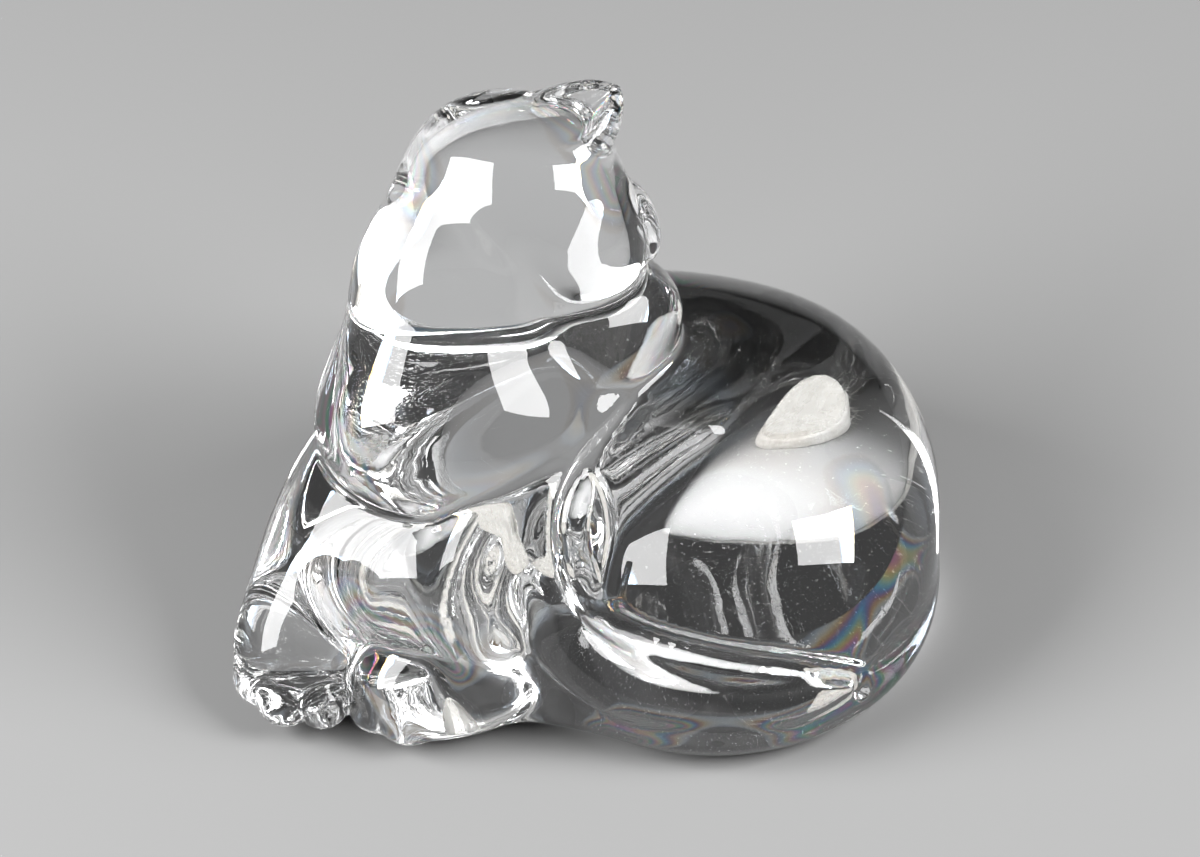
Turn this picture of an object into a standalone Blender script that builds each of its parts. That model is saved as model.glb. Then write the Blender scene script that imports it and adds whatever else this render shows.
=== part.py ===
"""Crystal cat figurine: a solid lead crystal cat that lies and looks back over its
shoulder, on four self-adhesive felt pads.

The cat is one solid piece of glass.  It is put together here from rounded masses and
limbs, fused into a single body, and ground flat underneath.  Each pad is a felt disc
and the film of adhesive that holds it.
"""
import math

import bmesh
import bpy
from mathutils import Euler, Matrix, Vector

MM = 0.001

# Pads: standard small felt dots
PAD_RADIUS = 4.75 * MM
FELT_THICKNESS = 1.2 * MM
FELT_BEVEL = 0.25 * MM
FILM_RADIUS = 4.45 * MM
FILM_THICKNESS = 0.2 * MM
CONTACT_GAP = 0.2 * MM
FILM_BOTTOM = FELT_THICKNESS + CONTACT_GAP
GLASS_BOTTOM = FILM_BOTTOM + FILM_THICKNESS + CONTACT_GAP

# Places of the masses are measured in millimetres: x to the cat's tail end, y back from
# the front edge of the glass, z up from the ground glass face.  The origin of the part
# is under the middle of the figurine, on the plane that it stands on.
MIDDLE_X = 0.75
MIDDLE_Y = 42.55

# Rounded masses: centre, radii and tilt in degrees about x, y and z
MASSES = {
    "body": ((21.5, 50.5, 17.0), (36.0, 35.0, 29.0), (0, 0, 0)),
    "rump": ((32.0, 40.0, 17.0), (26.0, 30.0, 24.0), (0, 0, 0)),
    "back": ((2.0, 49.0, 22.0), (36.0, 31.0, 30.0), (0, 0, 0)),
    "seat": ((21.0, 36.0, 6.0), (37.6, 36.5, 15.0), (0, 0, 0)),
    "belly": ((-10.0, 36.0, 8.0), (36.0, 28.0, 20.0), (0, 0, 0)),
    "thigh": ((25.5, 35.0, 15.5), (32.0, 32.0, 27.0), (0, 0, 0)),
    "breast": ((-20.4, 34.1, 45.1), (22.8, 17.0, 17.5), (45, 0, 0)),
    "chest": ((-4.5, 46.0, 50.6), (21.5, 14.5, 13.0), (45, 0, 25)),
    "collar": ((-19.5, 49.4, 63.2), (15.8, 12.5, 16.0), (45, 0, 0)),
    "head": ((-8.8, 55.2, 74.6), (15.7, 16.5, 16.5), (0, 0, 0)),
    "cheek": ((-0.8, 50.1, 68.1), (10.6, 9.5, 12.0), (45, 0, 0)),
    "shoulder": ((-17.0, 25.0, 20.0), (25.0, 17.0, 20.0), (45, 0, 0)),
    "flank": ((-10.0, 23.0, 25.0), (14.0, 14.0, 22.0), (0, 15, 0)),
}

# Limbs: stations of x, y, z and radius along the middle of each
LIMBS = {
    "neck": ((-22.5, 41.4, 50.3, 16.5), (-18.5, 50.2, 62.6, 14.5),
             (-14.5, 58.4, 76.4, 13.0)),
    "far_foreleg": ((-27.0, 38.0, 31.0, 16.0), (-37.0, 32.0, 22.0, 12.6),
                    (-44.0, 24.0, 13.0, 9.8), (-47.5, 17.0, 7.0, 8.6)),
    "near_foreleg": ((-6.0, 20.0, 13.0, 11.0), (-18.0, 14.0, 9.0, 10.0),
                     (-29.0, 11.5, 7.0, 8.5)),
    "elbow": ((1.6, 34.6, 48.9, 2.5), (-6.0, 26.3, 45.7, 4.0), (-14.0, 20.0, 40.0, 5.0),
              (-18.5, 14.5, 34.0, 5.5), (-18.5, 10.5, 26.0, 5.0),
              (-17.0, 8.5, 19.0, 4.5), (-13.0, 7.0, 12.0, 4.0)),
    "tail": ((10.5, 44.6, 48.5, 3.0), (3.2, 36.2, 47.2, 4.0), (-4.0, 27.5, 43.5, 5.0),
             (-7.3, 20.7, 37.3, 6.0), (-7.3, 15.0, 29.0, 6.0), (-3.5, 11.5, 20.0, 6.0),
             (6.5, 7.5, 13.0, 6.0), (20.0, 5.5, 11.0, 5.5), (31.5, 6.0, 11.0, 5.0),
             (40.0, 9.5, 11.5, 4.0)),
}

# Toes: centre and radius
TOES = (
    ((-52.4, 20.5, 7.5), 4.6), ((-52.4, 14.5, 5.8), 4.8), ((-48.5, 10.5, 5.2), 4.8),
    ((-42.5, 9.6, 5.0), 4.4), ((-35.0, 13.5, 5.6), 4.2), ((-34.0, 8.8, 4.8), 4.2),
    ((-28.5, 6.3, 4.6), 4.2),
)

# Ears: root inside the head, tip, radius at the root, and the way that the cup faces
EARS = {
    "far_ear": ((-3.6, 56.9, 85.6), (5.0, 61.5, 90.9), 8.2, (-0.25, -0.46, 0.95)),
    "near_ear": ((4.0, 52.3, 71.8), (11.0, 49.9, 66.5), 7.4, (0.35, -1.06, 0.21)),
}
EAR_TIP_RADIUS = 1.0
EAR_FLATTENING = 1.35
MIDWAY_SHARE = 0.66
CUP_SHARE = 0.66
CUP_TIP_RADIUS = 0.9

# Centres of the four pads under the glass
PADS = {
    "front_left": (-19.5, 15.8),
    "front_right": (36.0, 22.0),
    "back_left": (-14.0, 56.0),
    "back_right": (30.0, 66.0),
}

# Resolution of the fused glass
FUSE_VOXEL = 1.4 * MM
SOFTEN_PASSES = 3
SOFTEN_FACTOR = 0.5
GLASS_TRIANGLES = 5000


def clear_scene():
    for obj in list(bpy.data.objects):
        bpy.data.objects.remove(obj, do_unlink=True)


def new_collection(name):
    collection = bpy.data.collections.new(name)
    bpy.context.scene.collection.children.link(collection)
    return collection


def principled(name, colour, roughness, transmission=0.0, ior=1.45):
    material = bpy.data.materials.new(name)
    material.use_nodes = True
    shader = material.node_tree.nodes["Principled BSDF"]
    shader.inputs["Base Color"].default_value = (*colour, 1.0)
    shader.inputs["Roughness"].default_value = roughness
    shader.inputs["Metallic"].default_value = 0.0
    shader.inputs["Transmission Weight"].default_value = transmission
    shader.inputs["IOR"].default_value = ior
    return material


def place(point):
    """A place in the figurine's millimetres, in the part's own frame."""
    x, y, z = point[:3]
    return Vector(((x - MIDDLE_X) * MM, (y - MIDDLE_Y) * MM, z * MM + GLASS_BOTTOM))


def add_to(bm, mesh, matrix):
    """Adds a transformed copy of a mesh to bm and frees the mesh."""
    mesh.transform(matrix)
    bm.from_mesh(mesh)
    bpy.data.meshes.remove(mesh)


def ball_mesh():
    bm = bmesh.new()
    bmesh.ops.create_uvsphere(bm, u_segments=48, v_segments=24, radius=1.0)
    mesh = bpy.data.meshes.new("ball")
    bm.to_mesh(mesh)
    bm.free()
    return mesh


def add_ball(bm, centre, radii, tilt=(0, 0, 0)):
    turn = Euler([math.radians(angle) for angle in tilt], "ZYX").to_matrix().to_4x4()
    size = Matrix.Diagonal((*[radius * MM for radius in radii], 1.0))
    add_to(bm, ball_mesh(), Matrix.Translation(place(centre)) @ turn @ size)


def limb_mesh(name, stations):
    """A round limb through the stations, with the stations' radii."""
    curve = bpy.data.curves.new(name, "CURVE")
    curve.dimensions = "3D"
    curve.bevel_depth = MM
    curve.bevel_resolution = 6
    curve.resolution_u = 8
    curve.use_fill_caps = True
    spline = curve.splines.new("BEZIER")
    spline.bezier_points.add(len(stations) - 1)
    for point, station in zip(spline.bezier_points, stations):
        point.co = place(station)
        point.radius = station[3]
        point.handle_left_type = "AUTO"
        point.handle_right_type = "AUTO"
    holder = bpy.data.objects.new(name, curve)
    bpy.context.scene.collection.objects.link(holder)
    graph = bpy.context.evaluated_depsgraph_get()
    mesh = bpy.data.meshes.new_from_object(holder.evaluated_get(graph))
    bpy.data.objects.remove(holder)
    bpy.data.curves.remove(curve)
    return mesh


def add_limb(bm, name, stations, matrix=Matrix.Identity(4)):
    """A limb with round ends."""
    shape = bmesh.new()
    add_to(shape, limb_mesh(name, stations), Matrix.Identity(4))
    bmesh.ops.remove_doubles(shape, verts=shape.verts, dist=0.0001 * MM)
    for end in (stations[0], stations[-1]):
        add_ball(shape, end, (end[3],) * 3)
    mesh = bpy.data.meshes.new(name)
    shape.to_mesh(mesh)
    shape.free()
    add_to(bm, mesh, matrix)


def ear_frame(base, tip, facing):
    base = Vector(base)
    return base, Vector(tip) - base, Vector(facing).normalized()


def add_ear(bm, name, base, tip, radius, facing):
    """A flattened cone from the head to the tip of the ear."""
    root, length, front = ear_frame(base, tip, facing)
    middle = root + length * 0.5
    stations = (
        (*root, radius),
        (*middle, radius * MIDWAY_SHARE),
        (*(root + length), EAR_TIP_RADIUS),
    )
    pivot = Matrix.Translation(place(root))
    flatten = pivot @ Matrix.Scale(1.0 / EAR_FLATTENING, 4, front) @ pivot.inverted()
    add_limb(bm, name, stations, flatten)


def cup_cutter(name, base, tip, ear_radius, facing, collection):
    """The hollow of an ear: a round-ended cone laid along the ear's front."""
    root, length, front = ear_frame(base, tip, facing)
    inner = root + length * 0.15 + front * ear_radius * 0.75
    outer = root + length * 0.9 + front * 2.0
    cup_radius = ear_radius * CUP_SHARE
    steps = 12
    bm = bmesh.new()
    for step in range(steps + 1):
        share = step / steps
        centre = inner.lerp(outer, share)
        radius = cup_radius + (CUP_TIP_RADIUS - cup_radius) * share
        add_ball(bm, centre, (radius,) * 3)
    mesh = bpy.data.meshes.new(name)
    bm.to_mesh(mesh)
    bm.free()
    cutter = bpy.data.objects.new(name, mesh)
    collection.objects.link(cutter)
    fuse = cutter.modifiers.new("Fuse", "REMESH")
    fuse.mode = "VOXEL"
    fuse.voxel_size = 0.9 * MM
    fuse.use_smooth_shade = True
    hide_cutter(cutter)
    return cutter


def base_cutter(collection):
    """Everything under the ground glass face."""
    depth = 30 * MM
    bm = bmesh.new()
    bmesh.ops.create_cube(bm, size=1.0)
    mesh = bpy.data.meshes.new("ground_face")
    bm.to_mesh(mesh)
    bm.free()
    mesh.transform(Matrix.Diagonal((160 * MM, 120 * MM, depth, 1.0)))
    cutter = bpy.data.objects.new("ground_face", mesh)
    cutter.location.z = GLASS_BOTTOM - depth / 2
    collection.objects.link(cutter)
    hide_cutter(cutter)
    return cutter


def hide_cutter(cutter):
    cutter.hide_render = True
    cutter.display_type = "WIRE"


def cut_with(obj, cutter):
    cut = obj.modifiers.new("Cut " + cutter.name, "BOOLEAN")
    cut.operation = "DIFFERENCE"
    cut.solver = "EXACT"
    cut.object = cutter


def make_glass(parts, cutters):
    bm = bmesh.new()
    for centre, radii, tilt in MASSES.values():
        add_ball(bm, centre, radii, tilt)
    for centre, radius in TOES:
        add_ball(bm, centre, (radius,) * 3)
    for name, stations in LIMBS.items():
        add_limb(bm, name, stations)
    for name, (base, tip, radius, facing) in EARS.items():
        add_ear(bm, name, base, tip, radius, facing)
    mesh = bpy.data.meshes.new("crystal_cat")
    bm.to_mesh(mesh)
    bm.free()
    cat = bpy.data.objects.new("crystal_cat", mesh)
    parts.objects.link(cat)

    fuse = cat.modifiers.new("Fuse", "REMESH")
    fuse.mode = "VOXEL"
    fuse.voxel_size = FUSE_VOXEL
    fuse.use_smooth_shade = True
    soften = cat.modifiers.new("Soften", "SMOOTH")
    soften.factor = SOFTEN_FACTOR
    soften.iterations = SOFTEN_PASSES
    thin = cat.modifiers.new("Thin", "DECIMATE")
    thin.decimate_type = "COLLAPSE"
    thin.use_collapse_triangulate = True
    thin.ratio = share_of_faces(cat, thin, GLASS_TRIANGLES)
    for name, (base, tip, radius, facing) in EARS.items():
        cut_with(cat, cup_cutter(name + "_cup", base, tip, radius, facing, cutters))
    cut_with(cat, base_cutter(cutters))
    cat.data.materials.append(principled("lead_crystal", (1.0, 1.0, 1.0), 0.0, 1.0, 1.55))
    return cat


def share_of_faces(obj, thin, wanted):
    """The Decimate ratio that leaves the wanted number of triangles."""
    thin.show_viewport = False
    graph = bpy.context.evaluated_depsgraph_get()
    evaluated = obj.evaluated_get(graph).to_mesh()
    count = sum(len(face.vertices) - 2 for face in evaluated.polygons)
    obj.evaluated_get(graph).to_mesh_clear()
    thin.show_viewport = True
    return min(1.0, wanted / count)


def make_disc(name, radius, thickness, centre, bottom, segments, material, collection):
    bm = bmesh.new()
    bmesh.ops.create_cone(bm, cap_ends=True, cap_tris=False, segments=segments,
                          radius1=radius, radius2=radius, depth=thickness)
    mesh = bpy.data.meshes.new(name)
    bm.to_mesh(mesh)
    bm.free()
    mesh.materials.append(material)
    disc = bpy.data.objects.new(name, mesh)
    spot = place((*centre, 0.0))
    disc.location = (spot.x, spot.y, bottom + thickness / 2)
    collection.objects.link(disc)
    return disc


def make_pads(parts):
    felt = principled("white_wool_felt", (0.86, 0.85, 0.82), 0.95)
    film = principled("acrylic_adhesive", (0.80, 0.78, 0.72), 0.35)
    for spot, centre in PADS.items():
        make_disc(spot + "_adhesive", FILM_RADIUS, FILM_THICKNESS, centre, FILM_BOTTOM,
                  32, film, parts)
        pad = make_disc(spot + "_felt", PAD_RADIUS, FELT_THICKNESS, centre, 0.0,
                        32, felt, parts)
        ease = pad.modifiers.new("Edge", "BEVEL")
        ease.width = FELT_BEVEL
        ease.segments = 2
        ease.limit_method = "ANGLE"


def main():
    clear_scene()
    parts = new_collection("crystal_cat_figurine")
    cutters = new_collection("cutters")
    make_glass(parts, cutters)
    make_pads(parts)


main()
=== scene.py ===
"""The looks of the crystal cat: clear lead crystal on white felt pads.

The glass is one smooth surface.  It is worked out as a distance field: rounded masses
and limbs that flow into each other, cut by the cups of the ears and ground flat below.
"""

import math

import bmesh
import bpy
import numpy as np
from mathutils import Matrix, Vector


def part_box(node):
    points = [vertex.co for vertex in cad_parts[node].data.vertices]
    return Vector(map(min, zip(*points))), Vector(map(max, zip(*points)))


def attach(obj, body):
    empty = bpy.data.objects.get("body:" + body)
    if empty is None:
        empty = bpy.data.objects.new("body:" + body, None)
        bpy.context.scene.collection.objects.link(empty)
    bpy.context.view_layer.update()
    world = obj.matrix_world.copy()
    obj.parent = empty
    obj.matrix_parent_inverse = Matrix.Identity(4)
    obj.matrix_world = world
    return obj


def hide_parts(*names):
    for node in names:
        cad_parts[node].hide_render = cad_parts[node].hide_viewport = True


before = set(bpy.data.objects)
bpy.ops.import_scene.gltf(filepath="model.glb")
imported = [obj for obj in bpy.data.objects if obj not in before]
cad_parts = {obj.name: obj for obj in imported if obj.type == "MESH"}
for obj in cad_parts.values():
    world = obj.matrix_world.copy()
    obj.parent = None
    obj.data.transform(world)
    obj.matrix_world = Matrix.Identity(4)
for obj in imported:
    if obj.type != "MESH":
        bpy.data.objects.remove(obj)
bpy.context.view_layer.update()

MM = 0.001

# ----------------------------------------------------------------- the cat's shape
# Millimetres: x to the cat's tail end, y back from the front edge of the glass, z up
# from the ground glass face.  The finished surface is set into the CAD body's box.

# Rounded masses: centre, radii, and tilt in degrees about x, y and z
MASSES = {
    "body": ((21.5, 50.5, 17.0), (36.0, 35.0, 29.0), (0, 0, 0)),
    "rump": ((32.0, 40.0, 17.0), (26.0, 30.0, 24.0), (0, 0, 0)),
    "back": ((2.0, 49.0, 22.0), (36.0, 31.0, 30.0), (0, 0, 0)),
    "seat": ((21.0, 36.0, 6.0), (37.6, 36.5, 15.0), (0, 0, 0)),
    "belly": ((-10.0, 36.0, 8.0), (36.0, 28.0, 20.0), (0, 0, 0)),
    "thigh": ((25.5, 35.0, 15.5), (32.0, 32.0, 27.0), (0, 0, 0)),
    "breast": ((-20.4, 34.1, 45.1), (22.8, 17.0, 17.5), (45, 0, 0)),
    "chest": ((-4.5, 46.0, 50.6), (21.5, 14.5, 13.0), (45, 0, 25)),
    "collar": ((-19.5, 49.4, 63.2), (15.8, 12.5, 16.0), (45, 0, 0)),
    "head": ((-8.8, 55.2, 74.6), (15.7, 16.5, 16.5), (0, 0, 0)),
    "cheek": ((-0.8, 50.1, 68.1), (10.6, 9.5, 12.0), (45, 0, 0)),
    "shoulder": ((-17.0, 25.0, 20.0), (25.0, 17.0, 20.0), (45, 0, 0)),
    "flank": ((-10.0, 23.0, 25.0), (14.0, 14.0, 22.0), (0, 15, 0)),
}

# Limbs: stations of x, y, z and radius along the middle of each
LIMBS = {
    "neck": ((-22.5, 41.4, 50.3, 16.5), (-18.5, 50.2, 62.6, 14.5),
             (-14.5, 58.4, 76.4, 13.0)),
    "far_foreleg": ((-27.0, 38.0, 31.0, 16.0), (-37.0, 32.0, 22.0, 12.6),
                    (-44.0, 24.0, 13.0, 9.8), (-47.5, 17.0, 7.0, 8.6)),
    "near_foreleg": ((-6.0, 20.0, 13.0, 11.0), (-18.0, 14.0, 9.0, 10.0),
                     (-29.0, 11.5, 7.0, 8.5)),
    "elbow": ((1.6, 34.6, 48.9, 2.5), (-6.0, 26.3, 45.7, 4.0), (-14.0, 20.0, 40.0, 5.0),
              (-18.5, 14.5, 34.0, 5.5), (-18.5, 10.5, 26.0, 5.0),
              (-17.0, 8.5, 19.0, 4.5), (-13.0, 7.0, 12.0, 4.0)),
    "tail_crease": ((9.0, 34.0, 49.0, 1.2), (0.0, 22.0, 44.5, 2.2), (-2.0, 14.0, 40.0, 2.5),
                    (0.0, 11.5, 30.0, 2.5), (6.0, 10.0, 22.5, 2.5), (20.0, 4.0, 22.5, 2.5),
                    (34.0, 4.0, 19.5, 2.4), (44.5, 8.0, 13.0, 1.8), (45.0, 8.5, 8.5, 1.2)),
    "tail": ((10.5, 44.6, 48.5, 3.0), (3.2, 36.2, 47.2, 4.0), (-4.0, 27.5, 43.5, 5.0),
             (-7.3, 20.7, 37.3, 6.0), (-7.3, 15.0, 29.0, 6.0), (-3.5, 11.5, 20.0, 6.0),
             (6.5, 7.5, 13.0, 6.0), (20.0, 5.5, 11.0, 5.5), (31.5, 6.0, 11.0, 5.0),
             (40.0, 9.5, 11.5, 4.0)),
}

# How wide the stretches of a limb flow into each other
LIMB_MELTS = {"neck": 3, "far_foreleg": 3, "near_foreleg": 2, "elbow": 1,
              "tail_crease": 0.5, "tail": 1}

# Toes: centre and radius
TOES = (
    ((-52.4, 20.5, 7.5), 4.6), ((-52.4, 14.5, 5.8), 4.8), ((-48.5, 10.5, 5.2), 4.8),
    ((-42.5, 9.6, 5.0), 4.4), ((-35.0, 13.5, 5.6), 4.2), ((-34.0, 8.8, 4.8), 4.2),
    ((-28.5, 6.3, 4.6), 4.2),
)

# How wide the parts flow into each other
MELTS = {
    "back": 10, "rump": 6, "seat": 8, "foot": 6, "thigh": 2,
    "breast": 4, "neck": 6, "cheek": 6, "head": 3,
    "flank": 4, "far_foreleg": 6, "near_foreleg": 2, "toes": 1.6, "elbow": 4,
    "legs": 2.5, "front": 1.5, "tail": 1, "crease": 1, "ears": 1.2, "ground_face": 1,
}

# Ears: root inside the head, tip, radius at the root, and the way that the cup faces
EARS = {
    "far_ear": ((-3.6, 56.9, 85.6), (5.0, 61.5, 90.9), 8.2, (-0.25, -0.46, 0.95)),
    "near_ear": ((4.0, 52.3, 71.8), (11.0, 49.9, 66.5), 7.4, (0.35, -1.06, 0.21)),
}
EAR_TIP_RADIUS = 1.0
EAR_FLATTENING = 1.35
EAR_MELT = 0.3
MIDWAY_SHARE = 0.66
CUP_SHARE = 0.66
CUP_TIP_RADIUS = 0.9
CUP_STARTS = 0.15
CUP_ENDS = 0.9
CUP_SHIFT = 0.75
CUP_TIP_SHIFT = 2.0
CUP_RIM = 0.5

STEEPEST_TAPER = 0.95

# The grid that the surface is found on
FIELD_LOW = (-61.8, -4.0, -2.0)
FIELD_HIGH = (63.0, 91.0, 98.0)
FIELD_STEP = 0.8
BLOCK_STEPS = 4
NEAR_BLOCKS = 1.9
FAR_AWAY = 1000.0
POINTS_AT_ONCE = 200000
LEAST_STEEP = 0.05


def turning(tilt):
    """The rotation that applies the tilt about z, then y, then x."""
    ax, ay, az = (math.radians(angle) for angle in tilt)
    about_x = np.array([[1, 0, 0],
                        [0, math.cos(ax), -math.sin(ax)],
                        [0, math.sin(ax), math.cos(ax)]])
    about_y = np.array([[math.cos(ay), 0, math.sin(ay)],
                        [0, 1, 0],
                        [-math.sin(ay), 0, math.cos(ay)]])
    about_z = np.array([[math.cos(az), -math.sin(az), 0],
                        [math.sin(az), math.cos(az), 0],
                        [0, 0, 1]])
    return (about_x @ about_y @ about_z).astype(np.float32)


def lengths(vectors):
    return np.sqrt(np.einsum("...i,...i->...", vectors, vectors))


def mass(points, centre, radii, tilt=(0, 0, 0)):
    """Distance to an ellipsoid, good near its surface."""
    local = (points - np.array(centre, np.float32)) @ turning(tilt)
    scaled = local / np.array(radii, np.float32)
    reach = lengths(scaled)
    slope = lengths(scaled / np.array(radii, np.float32)) + 1e-9
    return reach * (reach - 1.0) / slope


def through(stations, parts):
    """A smooth path through the stations, cut into short stretches."""
    known = np.array(stations, float)
    ends = np.vstack([2 * known[0] - known[1], known, 2 * known[-1] - known[-2]])
    path = []
    for before, start, end, after in zip(ends, ends[1:], ends[2:], ends[3:]):
        for t in np.linspace(0.0, 1.0, parts, endpoint=False):
            path.append(0.5 * (2 * start + (end - before) * t
                               + (2 * before - 5 * start + 4 * end - after) * t ** 2
                               + (3 * start - before - 3 * end + after) * t ** 3))
    path.append(known[-1])
    return path


def limb(points, stations, melt, parts=6):
    """Distance to a chain of round cones through the stations."""
    path = through(stations, parts)
    nearest = None
    for start, end in zip(path, path[1:]):
        along = end[:3] - start[:3]
        length = float(np.linalg.norm(along))
        taper = (end[3] - start[3]) / length
        taper = float(np.clip(taper, -STEEPEST_TAPER, STEEPEST_TAPER))
        offset = points - start[:3].astype(np.float32)
        height = offset @ (along / length).astype(np.float32)
        square = np.einsum("...i,...i->...", offset, offset)
        aside = np.sqrt(np.maximum(square - height * height, 0.0))
        foot = np.clip(height + aside * taper / math.sqrt(1 - taper ** 2), 0.0, length)
        gap = np.sqrt(aside ** 2 + (height - foot) ** 2) - (start[3] + taper * foot)
        nearest = gap if nearest is None else join(nearest, gap, melt)
    return nearest


def join(a, b, melt):
    """Union whose crease is filled over a width of about melt."""
    share = np.maximum(melt - np.abs(a - b), 0.0) / melt
    return np.minimum(a, b) - share * share * melt * 0.25


def cut(a, b, melt):
    """What of a is outside b."""
    return -join(-a, b, melt)


def ear(points, root, tip, radius, facing):
    """Distance to an ear: a flattened cone, hollowed on the side that it faces."""
    root, tip, facing = (np.array(v, float) for v in (root, tip, facing))
    facing /= np.linalg.norm(facing)
    length = tip - root
    middle = root + length * 0.5
    depth = (points - root.astype(np.float32)) @ facing.astype(np.float32)
    stretch = (EAR_FLATTENING - 1.0) * depth[..., None] * facing.astype(np.float32)
    stations = ((*root, radius), (*middle, radius * MIDWAY_SHARE), (*tip, EAR_TIP_RADIUS))
    shell = limb(points + stretch, stations, EAR_MELT) / math.sqrt(EAR_FLATTENING)
    inner = root + length * CUP_STARTS + facing * radius * CUP_SHIFT
    outer = root + length * CUP_ENDS + facing * CUP_TIP_SHIFT
    stations = ((*inner, radius * CUP_SHARE), (*outer, CUP_TIP_RADIUS))
    return cut(shell, limb(points, stations, EAR_MELT), CUP_RIM)


def glass(points):
    """Distance in millimetres to the surface of the cat."""
    part = {name: mass(points, *shape) for name, shape in MASSES.items()}
    for name, stations in LIMBS.items():
        part[name] = limb(points, stations, LIMB_MELTS[name])
    melt = MELTS
    haunch = join(join(part["body"], part["back"], melt["back"]), part["rump"], melt["rump"])
    foot = join(part["seat"], part["belly"], melt["seat"])
    trunk = join(join(haunch, foot, melt["foot"]), part["thigh"], melt["thigh"])

    front = join(part["chest"], part["breast"], melt["breast"])
    front = join(front, part["neck"], melt["neck"])
    front = join(front, part["collar"], melt["neck"])
    head = join(part["head"], part["cheek"], melt["cheek"])
    front = join(front, head, melt["head"])

    toes = [mass(points, centre, (radius,) * 3) for centre, radius in TOES]
    legs = join(part["shoulder"], part["flank"], melt["flank"])
    legs = join(part["far_foreleg"], legs, melt["far_foreleg"])
    legs = join(legs, part["near_foreleg"], melt["near_foreleg"])
    legs = join(legs, np.minimum.reduce(toes), melt["toes"])
    legs = join(legs, part["elbow"], melt["elbow"])

    cat = join(join(trunk, legs, melt["legs"]), front, melt["front"])
    cat = join(cat, part["tail"], melt["tail"])
    cat = cut(cat, part["tail_crease"], melt["crease"])
    ears = [ear(points, *shape) for shape in EARS.values()]
    cat = join(cat, np.minimum.reduce(ears), melt["ears"])
    return cut(cat, points[..., 2], melt["ground_face"])


# ------------------------------------------------------ from distances to a surface

def sampled(field, low, high, step):
    """The field on a grid: exact near the surface, coarse elsewhere."""
    low, high = np.array(low), np.array(high)
    block = step * BLOCK_STEPS
    blocks = np.ceil((high - low) / block).astype(int)
    axes = [low[i] + (np.arange(blocks[i]) + 0.5) * block for i in range(3)]
    coarse = field(np.stack(np.meshgrid(*axes, indexing="ij"), -1).astype(np.float32))
    fine = coarse
    for axis in range(3):
        fine = np.repeat(fine, BLOCK_STEPS, axis)
    values = np.full(blocks * BLOCK_STEPS + 1, FAR_AWAY, np.float32)
    values[:-1, :-1, :-1] = fine
    close = np.abs(fine) < block * NEAR_BLOCKS
    wanted = np.zeros(values.shape, bool)
    for i in (0, 1):
        for j in (0, 1):
            for k in (0, 1):
                wanted[i:i + close.shape[0], j:j + close.shape[1],
                       k:k + close.shape[2]] |= close
    where = np.argwhere(wanted)
    points = (low + where * step).astype(np.float32)
    pieces = np.array_split(points, max(1, len(points) // POINTS_AT_ONCE))
    values[tuple(where.T)] = np.concatenate([field(piece) for piece in pieces])
    return values


def crossings(values, axis):
    """Grid edges along an axis that the surface crosses, and whether they leave it."""
    first = np.take(values, np.arange(values.shape[axis] - 1), axis)
    second = np.take(values, np.arange(1, values.shape[axis]), axis)
    crossed = (first < 0) != (second < 0)
    share = first[crossed] / (first[crossed] - second[crossed])
    return np.argwhere(crossed), share, first[crossed] < 0


def net(values, low, step):
    """A closed net of quads: one corner in each cell that the surface passes."""
    total = np.zeros((*[n - 1 for n in values.shape], 3), np.float32)
    count = np.zeros(total.shape[:3], np.float32)
    edges = [crossings(values, axis) for axis in range(3)]
    around = ((-1, -1), (0, -1), (0, 0), (-1, 0))
    for axis, (where, share, _) in enumerate(edges):
        spot = where.astype(np.float32)
        spot[:, axis] += share
        for a, b in around:
            cell = where.copy()
            cell[:, (axis + 1) % 3] += a
            cell[:, (axis + 2) % 3] += b
            np.add.at(total, tuple(cell.T), spot)
            np.add.at(count, tuple(cell.T), 1)
    used = count > 0
    number = np.full(count.shape, -1, np.int64)
    number[used] = np.arange(used.sum())
    corners = np.array(low) + total[used] / count[used][:, None] * step
    quads = []
    for axis, (where, _, leaving) in enumerate(edges):
        ring = []
        for a, b in around:
            cell = where.copy()
            cell[:, (axis + 1) % 3] += a
            cell[:, (axis + 2) % 3] += b
            ring.append(number[tuple(cell.T)])
        ring = np.stack(ring, 1)
        ring[~leaving] = ring[~leaving][:, ::-1]
        quads.append(ring)
    return corners, np.vstack(quads)


def slope_of(field, points, reach=0.15):
    sides = []
    for axis in range(3):
        shift = np.zeros(3, np.float32)
        shift[axis] = reach
        sides.append((field(points + shift) - field(points - shift)) / (2 * reach))
    return np.stack(sides, -1)


def settled(field, points, rounds=2):
    """The points moved straight onto the surface."""
    points = points.astype(np.float32)
    for _ in range(rounds):
        slope = slope_of(field, points)
        steep = np.maximum(np.einsum("...i,...i->...", slope, slope), LEAST_STEEP)
        points = points - slope * (field(points) / steep)[:, None]
    return points


def evened(points, quads, rounds=2):
    """Each point moved half way to the middle of its neighbours."""
    for _ in range(rounds):
        total = np.zeros(points.shape)
        count = np.zeros(len(points))
        for side in range(4):
            a, b = quads[:, side], quads[:, (side + 1) % 4]
            np.add.at(total, a, points[b])
            np.add.at(total, b, points[a])
            np.add.at(count, a, 1)
            np.add.at(count, b, 1)
        points = 0.5 * points + 0.5 * total / count[:, None]
    return points


# ----------------------------------------------------------------------- materials
# Depths are in metres, noise scales per metre.

CRYSTAL_TINT = (0.985, 0.99, 0.995, 1.0)
CRYSTAL_IOR = 1.55
WAVINESS_SCALE = 95.0
WAVINESS_DEPTH = 40e-6
POLISHING_LINES = 190.0
POLISHING_DEPTH = 0.8e-6
RUBBED_BELOW = 2.0 * MM
CLEAR_ABOVE = 3.4 * MM
RUBBED_ROUGHNESS = 0.35
COLOUR_FILM_IOR = 2.1
COLOUR_FILM_NANOMETRES = 1000.0

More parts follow.
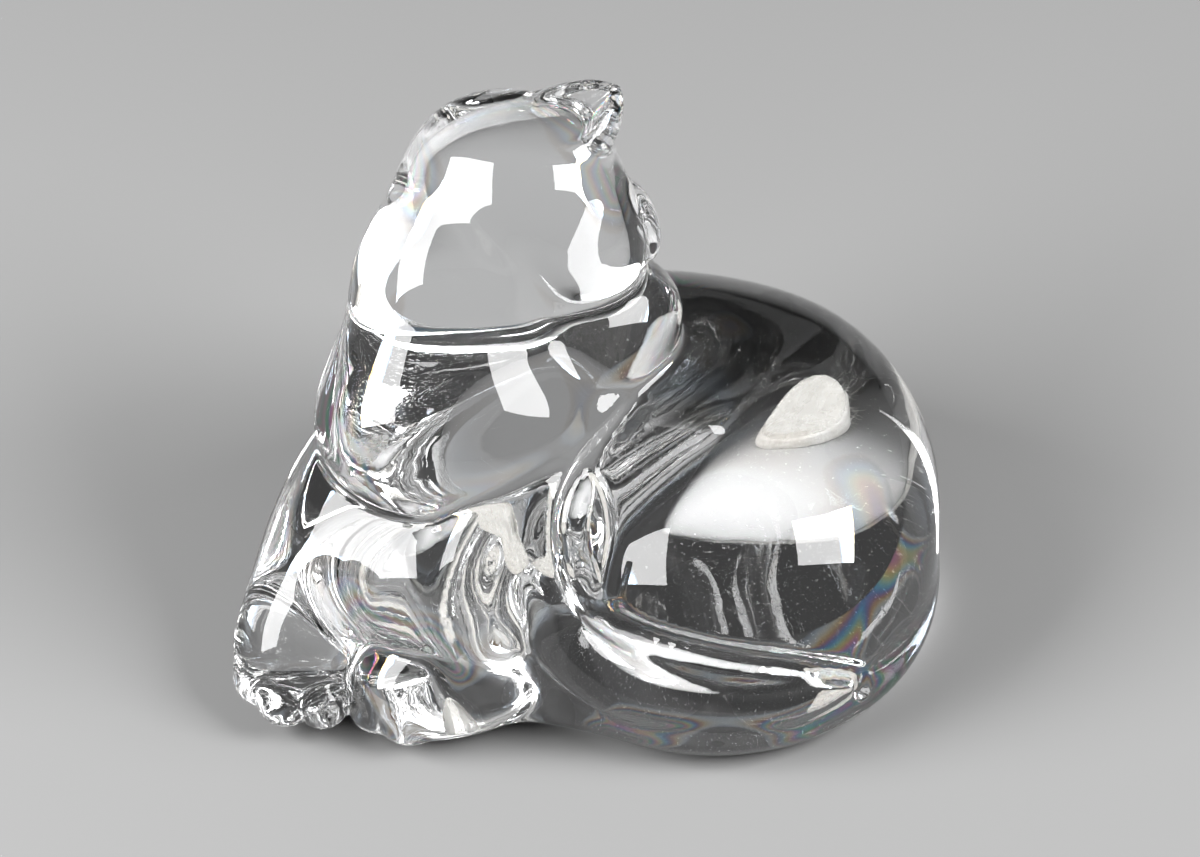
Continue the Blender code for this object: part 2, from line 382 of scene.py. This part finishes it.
FELT_MATTED = (0.66, 0.64, 0.60, 1.0)
FELT_WHITE = (0.93, 0.92, 0.89, 1.0)
FELT_DEPTH = 120e-6
ALONG_FIBRES = (2600.0, 320.0, 1400.0)
ACROSS_FIBRES = (420.0, 2300.0, 1400.0)

ADHESIVE_TINT = (0.96, 0.95, 0.92, 1.0)
ADHESIVE_IOR = 1.47
ADHESIVE_DEPTH = 15e-6

FLOOR_GREY = (0.36, 0.36, 0.36, 1.0)
PAPER_DEPTH = 10e-6


def new_material(name):
    material = bpy.data.materials.new(name)
    material.use_nodes = True
    tree = material.node_tree
    return material, tree, tree.nodes["Principled BSDF"]


def add_node(tree, kind, links=None, **settings):
    """A node with its settings and input values, or the sockets that feed it."""
    node = tree.nodes.new(kind)
    for name, value in settings.items():
        setattr(node, name, value)
    for name, value in (links or {}).items():
        if isinstance(value, bpy.types.NodeSocket):
            tree.links.new(value, node.inputs[name])
        else:
            node.inputs[name].default_value = value
    return node


def object_place(tree, stretch=(1.0, 1.0, 1.0)):
    """Places on the surface in metres, stretched along the axes."""
    source = add_node(tree, "ShaderNodeTexCoord")
    mapping = add_node(tree, "ShaderNodeMapping",
                       {"Vector": source.outputs["Object"], "Scale": stretch})
    return mapping.outputs["Vector"]


def noise(tree, place, scale, detail=2.0, roughness=0.5, distortion=0.0):
    node = add_node(tree, "ShaderNodeTexNoise",
                    {"Vector": place, "Scale": scale, "Detail": detail,
                     "Roughness": roughness, "Distortion": distortion})
    return node.outputs["Fac"]


def remap(tree, value, low, high, to_low, to_high):
    node = add_node(tree, "ShaderNodeMapRange",
                    {"Value": value, "From Min": low, "From Max": high,
                     "To Min": to_low, "To Max": to_high})
    return node.outputs["Result"]


def combine(tree, operation, first, second):
    node = add_node(tree, "ShaderNodeMath", {0: first, 1: second}, operation=operation)
    return node.outputs["Value"]


def bump(tree, height, distance, strength=1.0, normal=None):
    links = {"Height": height, "Distance": distance, "Strength": strength}
    if normal is not None:
        links["Normal"] = normal
    return add_node(tree, "ShaderNodeBump", links).outputs["Normal"]


def crystal_material():
    """Clear lead crystal: hand-polished, so faintly wavy, with fine polishing lines.

    The ground face and its rim are rubbed in specks.  Lead crystal splits light into
    colours, which patches of a thin film stand for where the glass is seen at a slant.
    """
    material, tree, shader = new_material("lead_crystal")
    shader.inputs["Base Color"].default_value = CRYSTAL_TINT
    shader.inputs["IOR"].default_value = CRYSTAL_IOR
    shader.inputs["Transmission Weight"].default_value = 1.0

    place = object_place(tree)
    waviness = bump(tree, noise(tree, place, WAVINESS_SCALE, 1.0), WAVINESS_DEPTH)
    lines = add_node(tree, "ShaderNodeTexWave",
                     {"Vector": place, "Scale": POLISHING_LINES, "Distortion": 9.0,
                      "Detail": 1.0, "Detail Scale": 0.35},
                     wave_type="BANDS", bands_direction="DIAGONAL")
    where = remap(tree, noise(tree, place, 60.0, 1.0), 0.52, 0.68, 0.0, 1.0)
    fine = combine(tree, "MULTIPLY", lines.outputs["Fac"], where)
    normal = bump(tree, fine, POLISHING_DEPTH, normal=waviness)
    tree.links.new(normal, shader.inputs["Normal"])

    source = add_node(tree, "ShaderNodeTexCoord")
    axes = add_node(tree, "ShaderNodeSeparateXYZ", {"Vector": source.outputs["Object"]})
    foot = remap(tree, axes.outputs["Z"], RUBBED_BELOW, CLEAR_ABOVE, 1.0, 0.0)
    specks = remap(tree, noise(tree, place, 2600.0, 3.0, 0.7), 0.56, 0.72,
                   0.0, RUBBED_ROUGHNESS)
    rubbed = combine(tree, "MULTIPLY", foot, specks)
    tree.links.new(rubbed, shader.inputs["Roughness"])

    slant = add_node(tree, "ShaderNodeLayerWeight", {"Blend": 0.5}).outputs["Facing"]
    patches = remap(tree, noise(tree, place, 40.0, 1.0), 0.50, 0.60, 0.0, 1.0)
    film = remap(tree, slant, 0.12, 0.90, 0.0, COLOUR_FILM_NANOMETRES)
    film = combine(tree, "MULTIPLY", film, patches)
    tree.links.new(film, shader.inputs["Thin Film Thickness"])
    shader.inputs["Thin Film IOR"].default_value = COLOUR_FILM_IOR
    return material


def felt_material():
    """Pressed white wool: matt, streaked along the fibres, with greyer matted spots."""
    material, tree, shader = new_material("white_wool_felt")
    place = object_place(tree)
    along = noise(tree, object_place(tree, ALONG_FIBRES), 1.0, 4.0, 0.65, 0.8)
    across = noise(tree, object_place(tree, ACROSS_FIBRES), 1.0, 4.0, 0.65, 0.8)
    matted = noise(tree, place, 650.0, 3.0, 0.6)
    fibres = combine(tree, "MULTIPLY", combine(tree, "ADD", along, across), 0.5)
    shade = combine(tree, "ADD", combine(tree, "MULTIPLY", fibres, 0.7),
                    combine(tree, "MULTIPLY", matted, 0.3))
    ramp = add_node(tree, "ShaderNodeValToRGB", {"Fac": shade})
    ramp.color_ramp.elements[0].position = 0.34
    ramp.color_ramp.elements[0].color = FELT_MATTED
    ramp.color_ramp.elements[1].position = 0.60
    ramp.color_ramp.elements[1].color = FELT_WHITE
    tree.links.new(ramp.outputs["Color"], shader.inputs["Base Color"])
    tree.links.new(remap(tree, fibres, 0.3, 0.7, 0.88, 1.0), shader.inputs["Roughness"])
    tree.links.new(bump(tree, shade, FELT_DEPTH), shader.inputs["Normal"])
    shader.inputs["Sheen Weight"].default_value = 0.35
    shader.inputs["Sheen Roughness"].default_value = 0.6
    shader.inputs["Specular IOR Level"].default_value = 0.2
    return material


def film_material():
    """Clear acrylic adhesive, hazy where it hasn't wetted the glass."""
    material, tree, shader = new_material("acrylic_adhesive")
    place = object_place(tree)
    patches = noise(tree, place, 900.0, 3.0, 0.6, 0.4)
    haze = remap(tree, patches, 0.42, 0.62, 0.12, 0.45)
    tree.links.new(haze, shader.inputs["Roughness"])
    tree.links.new(bump(tree, patches, ADHESIVE_DEPTH), shader.inputs["Normal"])
    shader.inputs["Base Color"].default_value = ADHESIVE_TINT
    shader.inputs["IOR"].default_value = ADHESIVE_IOR
    shader.inputs["Transmission Weight"].default_value = 0.92
    return material


def floor_material():
    """Plain matt paper, mid-grey so that the bright softboxes don't burn it out."""
    material, tree, shader = new_material("pale_paper")
    grain = noise(tree, object_place(tree), 700.0, 2.0)
    shader.inputs["Base Color"].default_value = FLOOR_GREY
    shader.inputs["Roughness"].default_value = 0.9
    shader.inputs["Specular IOR Level"].default_value = 0.2
    tree.links.new(bump(tree, grain, PAPER_DEPTH), shader.inputs["Normal"])
    return material


# -------------------------------------------------------------------------- pieces

def mesh_object(name, points, faces, material):
    mesh = bpy.data.meshes.new(name)
    mesh.from_pydata(points, [], faces)
    mesh.update()
    mesh.shade_smooth()
    mesh.materials.append(material)
    piece = bpy.data.objects.new(name, mesh)
    bpy.context.scene.collection.objects.link(piece)
    return piece


def make_cat():
    """The glass, found as a surface and set into the CAD body's box."""
    values = sampled(glass, FIELD_LOW, FIELD_HIGH, FIELD_STEP)
    points, quads = net(values, FIELD_LOW, FIELD_STEP)
    points = settled(glass, points)
    points = settled(glass, evened(points, quads), 1)
    points = points.astype(float) * MM
    low, high = (Vector(corner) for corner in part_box("crystal_cat"))
    own_low, own_high = points.min(0), points.max(0)
    middle = (low + high) / 2
    own_middle = (own_low + own_high) / 2
    points += [middle.x - own_middle[0], middle.y - own_middle[1], low.z - own_low[2]]
    cat = mesh_object("polished_cat", points.tolist(), quads.tolist(), crystal_material())
    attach(cat, "root")
    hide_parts("crystal_cat")


# Pads and their adhesive
PADS = ("front_left", "front_right", "back_left", "back_right")
RIM_STEPS = 96
FACE_RINGS = 14
SIDE_RINGS = 6
FILM_RINGS = 4
FILM_INTO_FELT = 0.28 * MM
FILM_INTO_GLASS = 0.25 * MM
FELT_ROUNDING = 0.32 * MM
FELT_LUMPS = 0.05 * MM
RAGGED_RIM = 0.09 * MM
RIM_SHARPNESS = 0.6
FIRST_SEED = 20
FIBRES = 340
FIBRE_SIDES = 3
FIBRE_PARTS = 5
FIBRE_RADIUS = (0.009 * MM, 0.018 * MM)
FIBRE_LENGTH = (0.3 * MM, 0.8 * MM)
FIBRE_RISE = 0.35
FIBRE_BEND = 0.55
FIBRE_TAPER = 0.6


def felt_profile(radius, thickness):
    """Radius and height from the middle of the lower face round to the upper middle."""
    inner = radius - FELT_ROUNDING
    faces = [inner * (step / FACE_RINGS) for step in range(1, FACE_RINGS + 1)]
    lower = [(reach, 0.0) for reach in faces]
    side = []
    for step in range(1, SIDE_RINGS):
        angle = math.pi * step / SIDE_RINGS
        bulge = math.sin(angle) ** RIM_SHARPNESS
        rise = math.copysign(abs(math.cos(angle)) ** RIM_SHARPNESS, math.cos(angle))
        height = thickness * 0.5 * (1 - rise)
        side.append((inner + FELT_ROUNDING * bulge, height))
    upper = [(reach, thickness) for reach in reversed(faces)]
    return lower + side + upper


def turned_disc(centre, bottom, profile, ragged, lumpy, chance):
    """A closed disc from a profile, with a ragged rim and lumpy faces."""
    angles = np.arange(RIM_STEPS) * 2 * math.pi / RIM_STEPS
    waves = chance.integers(3, 19, 7)
    phases = chance.uniform(0, 2 * math.pi, 7)
    wander = sum(np.sin(wave * angles + phase) for wave, phase in zip(waves, phases)) / 7
    widest = max(reach for reach, height in profile)
    thickness = profile[-1][1]
    points = [(centre.x, centre.y, bottom)]
    for reach, height in profile:
        out = reach + ragged * (wander - 1.0) * (reach / widest) ** 4
        lumps = lumpy * chance.uniform(0, 1, RIM_STEPS)
        inward = 1.0 if height < thickness / 2 else -1.0
        for angle, far, lump in zip(angles, out, lumps):
            points.append((centre.x + far * math.cos(angle),
                           centre.y + far * math.sin(angle),
                           bottom + height + inward * lump))
    points.append((centre.x, centre.y, bottom + thickness))
    faces = []
    last = len(points) - 1
    top = 1 + (len(profile) - 1) * RIM_STEPS
    for step in range(RIM_STEPS):
        after = (step + 1) % RIM_STEPS
        faces.append((0, 1 + after, 1 + step))
        for ring in range(len(profile) - 1):
            here, above = 1 + ring * RIM_STEPS, 1 + (ring + 1) * RIM_STEPS
            faces.append((here + step, here + after, above + after, above + step))
        faces.append((last, top + step, top + after))
    return points, faces


def felt_fibres(centre, radius, bottom, thickness, chance, start):
    """Loose hairs round the rim: thin closed tubes, bent, that stay above the table."""
    points, faces = [], []
    for _ in range(FIBRES):
        angle = chance.uniform(0, 2 * math.pi)
        outward = Vector((math.cos(angle), math.sin(angle), 0.0))
        around = Vector((-outward.y, outward.x, 0.0))
        root = centre + outward * (radius - FELT_ROUNDING * 0.6)
        root.z = bottom + thickness * chance.uniform(0.12, 0.88)
        heading = (outward * chance.uniform(0.25, 1.0) + around * chance.uniform(-1.0, 1.0)
                   + Vector((0, 0, chance.uniform(-FIBRE_RISE, FIBRE_RISE)))).normalized()
        bend = Vector(chance.uniform(-1, 1, 3)) * FIBRE_BEND
        length = chance.uniform(*FIBRE_LENGTH)
        thick = chance.uniform(*FIBRE_RADIUS)
        first = start + len(points)
        across = heading.orthogonal().normalized()
        over = heading.cross(across)
        for part in range(FIBRE_PARTS):
            share = part / (FIBRE_PARTS - 1)
            middle = root + (heading + bend * share) * (length * share)
            middle.z = min(max(middle.z, bottom + thick * 2), bottom + thickness)
            for side in range(FIBRE_SIDES):
                turn = 2 * math.pi * side / FIBRE_SIDES
                spoke = across * math.cos(turn) + over * math.sin(turn)
                points.append(tuple(middle + spoke * thick * (1 - FIBRE_TAPER * share)))
        for part in range(FIBRE_PARTS - 1):
            low = first + part * FIBRE_SIDES
            for side in range(FIBRE_SIDES):
                after = (side + 1) % FIBRE_SIDES
                faces.append((low + side, low + after,
                              low + FIBRE_SIDES + after, low + FIBRE_SIDES + side))
        end = first + (FIBRE_PARTS - 1) * FIBRE_SIDES
        faces.append(tuple(first + side for side in reversed(range(FIBRE_SIDES))))
        faces.append(tuple(end + side for side in range(FIBRE_SIDES)))
    return points, faces


def film_profile(radius, thickness):
    """A thin film with a rounded rim, pressed out between the felt and the glass."""
    inner = radius - thickness / 2
    faces = [inner * (step / FILM_RINGS) for step in range(1, FILM_RINGS + 1)]
    turns = [math.pi * step / SIDE_RINGS for step in range(1, SIDE_RINGS)]
    side = [(inner + thickness / 2 * math.sin(turn), thickness / 2 * (1 - math.cos(turn)))
            for turn in turns]
    return ([(reach, 0.0) for reach in faces] + side
            + [(reach, thickness) for reach in reversed(faces)])


def make_pads():
    """Felt pads, and under the glass the adhesive that wets it.

    The film reaches a hair into the felt and into the glass, so that no air is left
    between them and the glass shows the felt from every side.
    """
    felt = felt_material()
    adhesive = film_material()
    pads = []
    for number, spot in enumerate(PADS):
        low, high = (Vector(corner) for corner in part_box(spot + "_felt"))
        centre = (low + high) / 2
        radius = (high.x - low.x) / 2
        thickness = high.z - low.z
        chance = np.random.default_rng(FIRST_SEED + number)
        points, faces = turned_disc(centre, low.z, felt_profile(radius, thickness),
                                    RAGGED_RIM, FELT_LUMPS, chance)
        hairs, hair_faces = felt_fibres(centre, radius, low.z, thickness, chance,
                                        len(points))
        pad = mesh_object(spot + "_wool_pad", points + hairs, faces + hair_faces, felt)
        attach(pad, "root")
        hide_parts(spot + "_felt")
        pads.append(pad)
        low, high = (Vector(corner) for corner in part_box(spot + "_adhesive"))
        bottom, top = low.z - FILM_INTO_FELT, high.z + FILM_INTO_GLASS
        profile = film_profile((high.x - low.x) / 2, top - bottom)
        points, faces = turned_disc((low + high) / 2, bottom, profile, 0.0, 0.0, chance)
        film = mesh_object(spot + "_film", points, faces, adhesive)
        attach(film, "root")
        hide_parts(spot + "_adhesive")
    return pads


# ------------------------------------------------------------- floor, light, camera

FLOOR_REACH = 2.5

# The camera looks down at the front of the cat
CAMERA_TARGET = Vector((1.65, -5.05, 41.8)) * MM
CAMERA_DISTANCE = 700 * MM
CAMERA_RISE = math.radians(45)
VIEW_WIDTH = 193.5 * MM
SENSOR = 36.0
TOWARDS_CAMERA = Vector((0.0, -math.cos(CAMERA_RISE), math.sin(CAMERA_RISE)))
CAMERA_RIGHT = Vector((1.0, 0.0, 0.0))

# Softboxes: direction from the cat's head, width, height and brightness
HEAD = Vector((-9.5, 12.7, 76.4)) * MM
BOX_DISTANCE = 0.8
SOFTBOXES = {
    "right_softbox": ((0.75, -0.25, 0.62), 0.50, 0.38, 13.0),
    "left_softbox": ((-0.80, -0.28, 0.50), 0.42, 0.60, 13.0),
}
LIGHT_THROUGH_GLASS = 0.9
STUDIO_GREY = (0.05, 0.05, 0.05, 1.0)

# The pool of light that the haunch gathers on the floor under it
POOL_PLACE = Vector((17.0, -3.0, 8.0)) * MM
POOL_SIZE = (70 * MM, 44 * MM)
POOL_SPREAD = math.radians(130)
POOL_BRIGHTNESS = 7.0

# Light crosses many glass surfaces before it leaves the crystal
GLASS_BOUNCES = 24
GLOSSY_BOUNCES = 12


def make_floor():
    bm = bmesh.new()
    bmesh.ops.create_grid(bm, x_segments=1, y_segments=1, size=FLOOR_REACH)
    mesh = bpy.data.meshes.new("floor")
    bm.to_mesh(mesh)
    bm.free()
    mesh.materials.append(floor_material())
    floor = bpy.data.objects.new("floor", mesh)
    bpy.context.scene.collection.objects.link(floor)
    return floor


def reflected_axis(towards, step):
    """How a lamp's mirror image in a ball moves the lamp when the image moves by step."""
    normal = (towards + TOWARDS_CAMERA).normalized()
    tilt = step - TOWARDS_CAMERA * (step.dot(normal) / TOWARDS_CAMERA.dot(normal))
    turn = (2 * tilt.dot(TOWARDS_CAMERA) * normal
            + 2 * normal.dot(TOWARDS_CAMERA) * tilt)
    return (turn - towards * turn.dot(towards)).normalized()


def softbox(name, direction, width, height, brightness):
    """A rectangular area lamp, turned so that its image in the glass stands upright."""
    towards = Vector(direction).normalized()
    side = -reflected_axis(towards, CAMERA_RIGHT)
    up = towards.cross(side)
    lamp = bpy.data.lights.new(name, "AREA")
    lamp.shape = "RECTANGLE"
    lamp.size = width
    lamp.size_y = height
    lamp.energy = brightness * math.pi * width * height
    holder = bpy.data.objects.new(name, lamp)
    matrix = Matrix((side, up, towards)).transposed().to_4x4()
    matrix.translation = HEAD + towards * BOX_DISTANCE
    holder.matrix_world = matrix
    bpy.context.scene.collection.objects.link(holder)
    return holder


def reach_only(lamp, receivers, blockers):
    """Lets a lamp light the receivers only, with only the blockers in its way.

    The glass passes the softboxes' light down to its pads and to the floor under it,
    which Cycles leaves out when caustics are off.  Sampled by the surfaces as well, the
    lamp would lose what the glass keeps from it.
    """
    reach = bpy.data.collections.new(lamp.name + "_reach")
    for receiver in receivers:
        reach.objects.link(receiver)
    shade = bpy.data.collections.new(lamp.name + "_shade")
    for blocker in blockers:
        shade.objects.link(blocker)
    lamp.data.cycles.use_multiple_importance_sampling = False
    lamp.light_linking.receiver_collection = reach
    lamp.light_linking.blocker_collection = shade


def make_pool(pads, floor):
    """A lamp inside the haunch that only the floor sees."""
    lamp = bpy.data.lights.new("light_under_glass", "AREA")
    lamp.shape = "ELLIPSE"
    lamp.size, lamp.size_y = POOL_SIZE
    lamp.spread = POOL_SPREAD
    area = math.pi / 4 * POOL_SIZE[0] * POOL_SIZE[1]
    lamp.energy = POOL_BRIGHTNESS * math.pi * area
    holder = bpy.data.objects.new("light_under_glass", lamp)
    holder.location = POOL_PLACE
    bpy.context.scene.collection.objects.link(holder)
    reach_only(holder, [floor], pads)


def make_light(pads, floor):
    """The softboxes, each with its share that comes down to the pads, and the room."""
    for name, settings in SOFTBOXES.items():
        softbox(name, *settings)
        direction, width, height, brightness = settings
        dimmed = softbox(name + "_through_glass", direction, width, height,
                         brightness * LIGHT_THROUGH_GLASS)
        reach_only(dimmed, pads, pads)
    make_pool(pads, floor)
    world = bpy.data.worlds.new("studio")
    world.use_nodes = True
    world.node_tree.nodes["Background"].inputs["Color"].default_value = STUDIO_GREY
    bpy.context.scene.world = world


def make_camera():
    camera = bpy.data.cameras.new("camera")
    camera.sensor_fit = "HORIZONTAL"
    camera.sensor_width = SENSOR
    camera.lens = SENSOR * CAMERA_DISTANCE / VIEW_WIDTH
    holder = bpy.data.objects.new("camera", camera)
    holder.location = CAMERA_TARGET + TOWARDS_CAMERA * CAMERA_DISTANCE
    holder.rotation_euler = (-TOWARDS_CAMERA).to_track_quat("-Z", "Y").to_euler()
    bpy.context.scene.collection.objects.link(holder)
    bpy.context.scene.camera = holder


def set_tracing():
    """Many bounces inside the glass, and no caustics, which would be all noise."""
    scene = bpy.context.scene
    scene.view_settings.view_transform = "Standard"
    scene.cycles.use_denoising = True
    scene.cycles.max_bounces = GLASS_BOUNCES
    scene.cycles.caustics_reflective = False
    scene.cycles.caustics_refractive = False
    scene.cycles.transmission_bounces = GLASS_BOUNCES
    scene.cycles.glossy_bounces = GLOSSY_BOUNCES
    scene.cycles.transparent_max_bounces = GLASS_BOUNCES


make_camera()
make_cat()
make_light(make_pads(), make_floor())
set_tracing()
